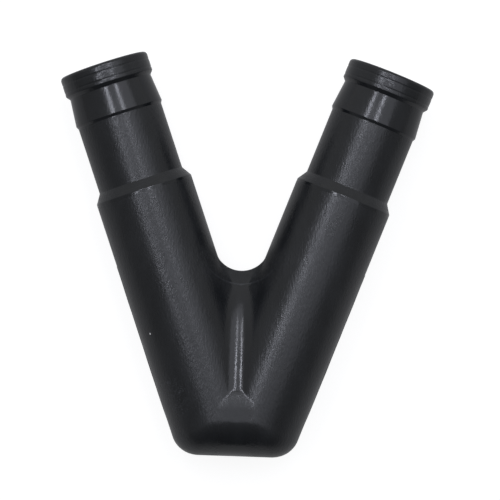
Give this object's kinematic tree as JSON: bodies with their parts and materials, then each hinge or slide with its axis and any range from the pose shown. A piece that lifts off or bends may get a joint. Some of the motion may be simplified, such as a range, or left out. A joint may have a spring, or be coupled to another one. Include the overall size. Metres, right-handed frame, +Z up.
{
  "type": "tubing v connector",
  "caption": "One-piece moulded rubber hose connector: a V of barbed, beaded spigots whose barrels join in one closed, bull-nosed end.",
  "frame": {"origin": "under the middle of the part's bounding box, on the surface it lies on", "axes": "+Y along the line of symmetry towards the two open ends, +X across the V to the right arm, +Z up through the thickness"},
  "size_m": [0.1076, 0.1156, 0.0286],
  "materials": {
    "moulded_rubber": "satin black, moulded"
  },
  "bodies": {
    "root": {"connector_body": "moulded_rubber"}
  },
  "joints": []
}
